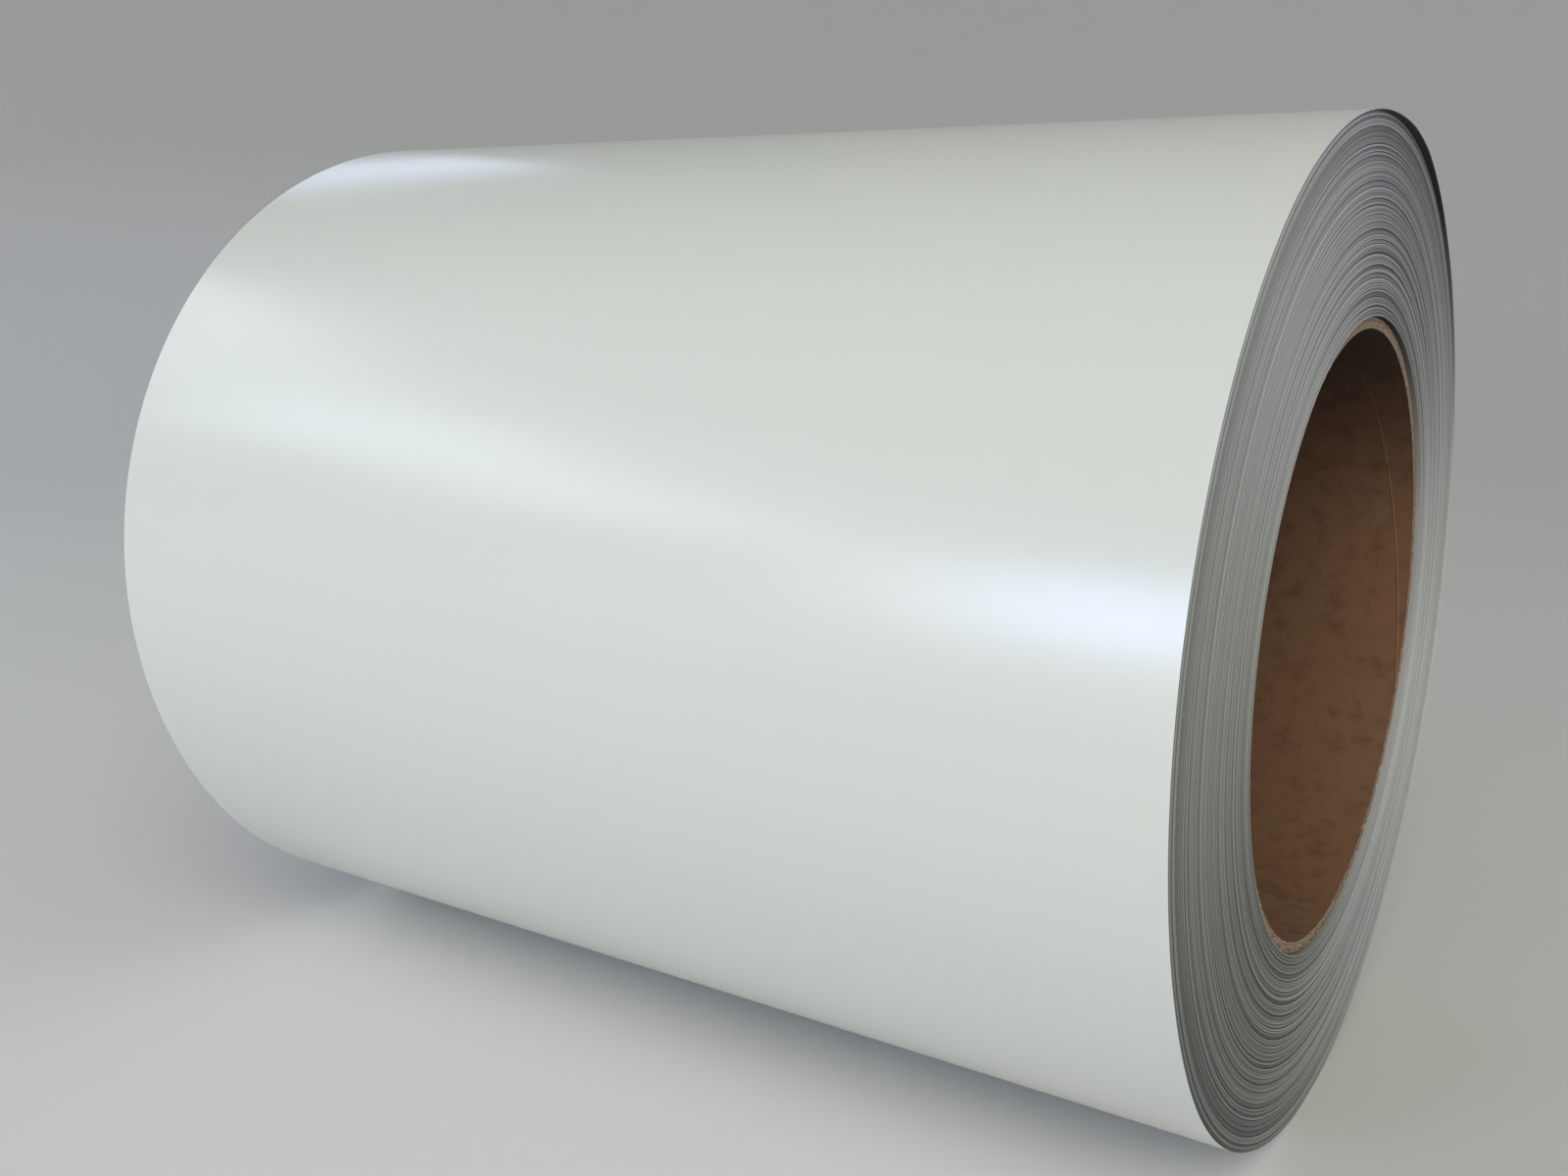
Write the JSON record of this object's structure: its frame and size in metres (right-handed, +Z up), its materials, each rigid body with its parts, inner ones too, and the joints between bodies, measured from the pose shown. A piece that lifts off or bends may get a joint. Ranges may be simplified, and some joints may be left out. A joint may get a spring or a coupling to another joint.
{
  "type": "steel coil",
  "caption": "Coil of prepainted steel strip wound on a paperboard core, lying on its side, with uneven turn edges at both ends and an open bore.",
  "frame": {"origin": "on the floor, under the middle of the coil", "axes": "+X along the coil's axis, towards the end that the picture shows; +Z up"},
  "size_m": [1.255, 1.0124, 1.0122],
  "materials": {
    "painted_strip": "satin coil-coated off-white paint, with bare grey cut edges on the two ends",
    "core_board": "matte spiral-wound brown kraft board"
  },
  "bodies": {
    "root": {"wound_strip": "painted_strip", "core_tube": "core_board"}
  },
  "joints": []
}
